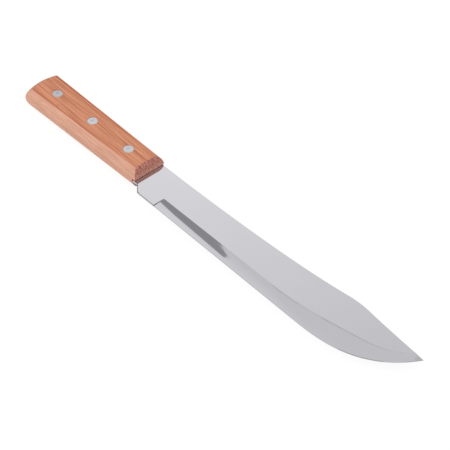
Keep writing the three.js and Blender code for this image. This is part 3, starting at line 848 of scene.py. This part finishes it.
def steel_material(c):
    """Mirror-polished steel with faint polishing lines and clouds. The stamped walls are darker and rough.
    The broken corners are rough and darker, and the heel's slope and the end of the grind darkest, as painted
    dark reflections;
    near the root the walls take the polished colour as a painted highlight."""
    material, tree = new_material("polished_steel")
    place = from_front(tree)
    level = facing(tree, "Z")
    wall = tree.ramp(level, 0.98, 0.92)
    upright = tree.ramp(level, 0.3, 0.05)
    sloped = tree.ramp(facing(tree, "X"), 0.15, 0.35)
    # Painted highlight: nearer the handle than 2 to 3.5 mm the stamped walls take the polished colour,
    # standing for a bright reflection.
    root = tree.ramp(tree.parts(place)["X"], 3.5 * MM, 2 * MM)
    lines = streaks(tree, place, 60, 0.2, 3, 1)
    cloud = streaks(tree, place, 45, 14, 2, 4)
    shear = streaks(tree, place, 0.5, 1.5, 3, 7)
    polished = tree.mix(tree.ramp(cloud, 0.3, 0.7), c.steel * 0.985, c.steel)
    stamped = tree.mix(tree.ramp(shear, 0.35, 0.65), c.steel_wall * 0.8, c.steel_wall)
    # Painted reflection: the rounded corners take a dark colour.
    stamped = tree.mix(upright, c.dark_reflecting_corner, stamped)
    # Painted reflection: surfaces facing along the blade take the darkest colour.
    stamped = tree.mix(sloped, stamped, c.dark_reflecting_slope)
    stamped = tree.mix(root, stamped, c.steel)
    polish = tree.math("ADD", tree.ramp(lines, 0.3, 0.7, 0.025, 0.04), tree.ramp(cloud, 0.3, 0.7, 0.0, 0.01))
    roughness = tree.blend(wall, polish, tree.ramp(shear, 0.35, 0.65, 0.38, 0.5))
    height = tree.blend(wall, tree.times(lines, 0.004), shear)
    base = tree.mix(wall, polished, stamped)
    finish_material(tree, base, roughness, tree.bump(height, 0.25, 0.05 * MM), metallic=1.0)
    return material


def aluminium_material(c):
    """Sanded aluminium with fine scratches. The pressed dimple is a little warmer, the rear rivet duller."""
    material, tree = new_material("sanded_aluminium")
    place = from_front(tree)
    share = tree.add("ShaderNodeAttribute", attribute_name="head_share").outputs["Fac"]
    scratches = streaks(tree, place, 5, 0.12, 3, 2)
    patches = streaks(tree, place, 2, 2, 2, 5)
    sanded = tree.mix(tree.ramp(scratches, 0.3, 0.7), c.aluminium * 0.93, c.aluminium)
    sanded = tree.mix(tree.ramp(patches, 0.4, 0.7, 0.0, 0.25), sanded, c.aluminium * 0.88)
    base = tree.mix(tree.ramp(share, 0.42, 0.3), sanded, c.aluminium_dimple)
    rear = tree.ramp(tree.parts(place)["X"], -60 * MM, -105 * MM)
    base = tree.mix(rear, base, c.rear_rivet_darkening, "MULTIPLY")
    roughness = tree.ramp(scratches, 0.3, 0.7, 0.3, 0.42)
    finish_material(tree, base, roughness, tree.bump(scratches, 0.2, 0.02 * MM), metallic=1.0)
    return material


def wood_material(c):
    """Straight-grained reddish hardwood: growth bands, fibres and vessel lines drawn out along the handle,
    orange-brown on the flat faces, paler on the sides, partly through the grain and partly as a painted
    sheen, darker and speckled on the sawn ends, with painted shade on the end grain below the steel's middle,
    a thin darker line where the faces meet the sides, and painted shade on the wood in the corner under the
    steel."""
    material, tree = new_material("reddish_hardwood")
    place = from_front(tree)
    tilt = tree.add("ShaderNodeMapping", {"Vector": place, "Rotation": (0, 0, c.grain_tilt)}).outputs[0]
    bands = streaks(tree, tilt, 200, 4, 1, 1)
    fibres = streaks(tree, tilt, 45, 0.8, 2, 2)
    threads = streaks(tree, tilt, 14, 0.25, 2, 3)
    vessels = tree.ramp(streaks(tree, tilt, 8, 0.8, 1, 4), 0.6, 0.72)
    veins = tree.ramp(streaks(tree, tilt, 45, 0.7, 1, 5), 0.6, 0.72)
    tone = tree.math("ADD", tree.times(bands, 0.15), tree.times(fibres, 0.7))
    tone = tree.ramp(tree.math("ADD", tone, tree.times(threads, 0.15)), 0.39, 0.61)

    side = tree.ramp(facing(tree, "Z"), 0.985, 0.945)
    end = tree.ramp(facing(tree, "X"), 0.1, 0.3)
    face_colour = tree.mix(tone, c.face_dark, c.face_light)
    # Painted sheen: the paler side colours stand partly for gloss on the rounded sides.
    side_tone_with_sheen = tree.mix(tone, c.side_deep_with_sheen, c.side_pale_with_sheen)
    long_grain = tree.mix(side, face_colour, side_tone_with_sheen)
    lines = tree.math("MAXIMUM", tree.times(vessels, 0.45), tree.times(veins, 0.55))
    lines = tree.times(lines, tree.ramp(side, 0, 1, 1.0, 0.5))
    long_grain = tree.mix(lines, long_grain, c.pore)

    x, y, z = tree.parts(place)
    corner = tree.add("ShaderNodeAttribute", attribute_name="crisp").outputs["Fac"]
    stain = tree.times(tree.ramp(x, -60 * MM, -5 * MM, 1.0, 0.5), tree.ramp(corner, 0.05, 0.6))
    stain = tree.times(stain, tree.ramp(bands, 0.35, 0.6, 1.0, 0.7))
    long_grain = tree.mix(stain, long_grain, c.corner)
    # Painted shade: wood just behind the front and below the steel's middle is darkened where the steel
    # shades it.
    painted_shade_mask = tree.times(tree.ramp(x, -4 * MM, -1.5 * MM), tree.ramp(z, 0, -1 * MM))
    painted_shade_mask = tree.times(painted_shade_mask, tree.ramp(y, -9.5 * MM, -11.5 * MM, 0.0, 0.85))

    blotches = streaks(tree, tilt, 8, 1, 2, 6)
    pores = tree.ramp(streaks(tree, tilt, 5, 0.7, 1, 7), 0.55, 0.66)
    end_grain = tree.mix(tree.ramp(blotches, 0.32, 0.62), c.end_dark, c.end_light)
    end_grain = tree.mix(tree.times(pores, 0.55), end_grain, c.end_dark)
    towards_face = tree.ramp(tree.math("ABSOLUTE", z), 2 * MM, 5.9 * MM)
    # The end grain darkens towards both flat faces; the darkening below the steel's middle is painted shade.
    darkening_and_shade_mask = tree.math("MAXIMUM", towards_face, tree.ramp(z, 1 * MM, 0, 0.0, 0.38))
    end_grain = tree.mix(darkening_and_shade_mask, end_grain, c.end_darkening_and_shade, "MULTIPLY")
    base = tree.mix(painted_shade_mask, tree.mix(end, long_grain, end_grain), c.painted_shade_tone)
    relief = tree.math("SUBTRACT", tree.times(threads, 0.3), vessels)
    roughness = tree.ramp(fibres, 0.3, 0.7, 0.5, 0.62)
    finish_material(tree, base, roughness, tree.bump(relief, 0.3, 0.06 * MM))
    return material


def floor_material(s):
    """A white floor: it reads white to the camera and in reflections, keeps a soft shadow, and is open from
    below so that the underside can be seen."""
    material, tree = new_material("white_floor")
    path = tree.add("ShaderNodeLightPath").outputs
    seen = tree.math("MAXIMUM", path["Is Camera Ray"], path["Is Glossy Ray"])
    seen = tree.math("MAXIMUM", seen, path["Is Transmission Ray"])
    matt = tree.add("ShaderNodeBsdfDiffuse", {"Color": s.floor_tone}).outputs[0]
    shaded = tree.add("ShaderNodeBsdfDiffuse", {"Color": s.floor_shade}).outputs[0]
    glow = tree.add("ShaderNodeEmission", {"Color": WHITE, "Strength": s.floor_glow}).outputs[0]
    bright = tree.add("ShaderNodeAddShader", {0: shaded, 1: glow}).outputs[0]
    top = tree.add("ShaderNodeMixShader", {0: seen, 1: matt, 2: bright}).outputs[0]
    below = tree.add("ShaderNodeNewGeometry").outputs["Backfacing"]
    clear = tree.add("ShaderNodeBsdfTransparent").outputs[0]
    surface = tree.add("ShaderNodeMixShader", {0: below, 1: top, 2: clear}).outputs[0]
    tree.add("ShaderNodeOutputMaterial", {"Surface": surface})
    return material


def card_material(name, tone):
    """The even tone of a card."""
    material, tree = new_material(name)
    glow = tree.add("ShaderNodeEmission", {"Color": tone, "Strength": 1.0}).outputs[0]
    tree.add("ShaderNodeOutputMaterial", {"Surface": glow})
    return material


# Stage


def make_world(ambient):
    """A white surround: white to the camera and even for soft light. In reflections it falls from white
    behind the butt to a light grey past the tip."""
    world = bpy.data.worlds.new("soft_surround")
    bpy.context.scene.world = world
    tree = empty_tree(world)
    path = tree.add("ShaderNodeLightPath").outputs
    direction = tree.add("ShaderNodeTexCoord").outputs["Generated"]
    course = (1, -0.5, 0)
    white_until, grey_from, grey = -0.8, -0.69, 0.766
    lean = tree.add("ShaderNodeVectorMath", {0: direction, 1: course}, operation="DOT_PRODUCT")
    fall = {"Value": lean.outputs["Value"], 1: white_until, 2: grey_from, 3: 1.0, 4: grey}
    reflected = tree.add("ShaderNodeMapRange", fall).outputs["Result"]
    tone = tree.blend(path["Is Glossy Ray"], ambient, reflected)
    seen = tree.math("MAXIMUM", path["Is Camera Ray"], path["Is Transmission Ray"])
    strength = tree.blend(seen, tone, 1.0)
    background = tree.add("ShaderNodeBackground", {"Color": WHITE, "Strength": strength}).outputs[0]
    tree.add("ShaderNodeOutputWorld", {"Surface": background})


def make_sheet(name, corners, material):
    """A flat stage sheet from its corners."""
    mesh = bpy.data.meshes.new(name)
    mesh.from_pydata(corners, [], [list(range(len(corners)))])
    mesh.materials.append(material)
    sheet = add_object(name, mesh)
    return sheet


def make_card(name, plan, height, tone):
    """A level card over the knife, from its plan in millimetres, that shows in reflections alone."""
    corners = np.hstack([np.array(plan) * MM, np.full((len(plan), 1), height)]) + origin
    card = make_sheet(name, corners.tolist(), card_material(name, tone))
    for ray in ("camera", "diffuse", "shadow", "transmission"):
        setattr(card, f"visible_{ray}", False)


def outward(azimuth, elevation):
    """The direction from the knife towards something at an azimuth from -Y towards +X and an elevation."""
    return Vector((sin(azimuth) * cos(elevation), -cos(azimuth) * cos(elevation), sin(elevation)))


def aimed(name, data, target, direction, distance):
    """A camera or lamp at a distance from its target, turned towards it."""
    thing = add_object(name, data)
    thing.location = target + direction * distance
    thing.rotation_euler = (-direction).to_track_quat("-Z", "Y").to_euler()
    return thing


# Operators


class KNIFE_OT_blade(bpy.types.Operator):
    """Make the polished, hollow-ground blade with its tang"""

    bl_idname = "knife.finish_blade"
    bl_label = "Finish Blade"

    def execute(self, context):
        scene = context.scene
        handle = scene.knife_handle
        points, faces, crisp = blade_surface(scene.knife_blade, handle)
        blade = make_piece("finished_blade", points, faces, crisp=crisp)
        carve(blade, hole_cutters(scene.knife_rivets, handle.clearance, handle.thickness))
        shade(blade.data, sharp_angle=35)
        hand_over(blade, "blade", steel_material(scene.knife_finishes))
        return {"FINISHED"}


class KNIFE_OT_handle(bpy.types.Operator):
    """Make the slotted wooden handle"""

    bl_idname = "knife.finish_handle"
    bl_label = "Finish Handle"

    def execute(self, context):
        scene = context.scene
        sizes = scene.knife_handle
        points, faces, crisp = handle_surface(sizes)
        handle = make_piece("finished_handle", points, faces, crisp=crisp)
        cutters = hole_cutters(scene.knife_rivets, scene.knife_rivets.gap, sizes.thickness)
        carve(handle, [slot_cutter(scene.knife_blade, sizes), *cutters])
        shade(handle.data, sharp_angle=30)
        hand_over(handle, "handle", wood_material(scene.knife_finishes))
        return {"FINISHED"}


class KNIFE_OT_rivets(bpy.types.Operator):
    """Make the three flush rivets"""

    bl_idname = "knife.finish_rivets"
    bl_label = "Finish Rivets"

    def execute(self, context):
        scene = context.scene
        sizes = scene.knife_rivets
        points, faces = turned(mirrored(rivet_profile(sizes)), RIVET_SIDES)
        share = np.linalg.norm(points[:, :2], axis=1) / (sizes.head / 2)
        material = aluminium_material(scene.knife_finishes)
        for node, centre in zip(RIVET_NODES, rivet_centres):
            rivet = make_piece(f"finished_{node}", points + centre - origin, faces, head_share=share)
            shade(rivet.data, sharp_angle=40)
            hand_over(rivet, node, material)
        return {"FINISHED"}


class KNIFE_OT_stage(bpy.types.Operator):
    """Make the surround, the floor, the cards, the camera and the lamp"""

    bl_idname = "knife.set_stage"
    bl_label = "Set Stage"

    def execute(self, context):
        s = context.scene.knife_stage
        context.scene.view_settings.view_transform = "Standard"
        make_world(s.ambient)
        half = s.floor_side / 2
        floor_corners = [(-half, -half, 0), (half, -half, 0), (half, half, 0), (-half, half, 0)]
        make_sheet("floor", floor_corners, floor_material(s))
        make_card("dark_card", DARK_PLAN, s.card_height, s.dark_tone)
        make_card("grey_card", GREY_PLAN, s.card_height, s.grey_tone)
        above_grey = s.card_height + MM
        make_card("tip_card", TIP_PLAN, above_grey, s.tip_tone)

        target = Vector(origin) + Vector((s.target_ahead, s.target_aside, sheet_thickness / 2))
        lens = bpy.data.cameras.new("camera")
        lens.lens = s.lens
        context.scene.camera = aimed("camera", lens, target, outward(s.azimuth, s.elevation), s.distance)
        lamp = bpy.data.lights.new("key_light", "AREA")
        lamp.energy = s.key_power
        lamp.size = s.key_size
        towards_key = outward(s.azimuth - s.key_turn, s.key_elevation)
        key = aimed("key_light", lamp, target, towards_key, s.key_distance)
        key.visible_glossy = False
        return {"FINISHED"}


class KNIFE_PT_panel(bpy.types.Panel):
    """Lists the steps that finish the knife"""

    bl_idname = "KNIFE_PT_panel"
    bl_label = "Kitchen Knife"
    bl_space_type = "VIEW_3D"
    bl_region_type = "UI"
    bl_category = "Knife"

    def draw(self, context):
        for operator in OPERATORS:
            self.layout.operator(operator.bl_idname)
        for group in SETTINGS:
            settings = getattr(context.scene, group)
            column = self.layout.column(align=True)
            for key in settings.__annotations__:
                column.prop(settings, key)


OPERATORS = (KNIFE_OT_blade, KNIFE_OT_handle, KNIFE_OT_rivets, KNIFE_OT_stage)
SETTINGS = {
    "knife_blade": BladeSizes,
    "knife_handle": HandleSizes,
    "knife_rivets": RivetSizes,
    "knife_finishes": Finishes,
    "knife_stage": StageSettings,
}


def register():
    for group in (*SETTINGS.values(), *OPERATORS, KNIFE_PT_panel):
        bpy.utils.register_class(group)
    for name, group in SETTINGS.items():
        setattr(bpy.types.Scene, name, bpy.props.PointerProperty(type=group))


def unregister():
    for name in SETTINGS:
        delattr(bpy.types.Scene, name)
    for group in (KNIFE_PT_panel, *OPERATORS, *SETTINGS.values()):
        bpy.utils.unregister_class(group)


def main():
    """Registers the add-on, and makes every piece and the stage."""
    register()
    bpy.ops.knife.finish_blade()
    bpy.ops.knife.finish_handle()
    bpy.ops.knife.finish_rivets()
    bpy.ops.knife.set_stage()
    bpy.context.view_layer.update()


if __name__ == "__main__":
    main()
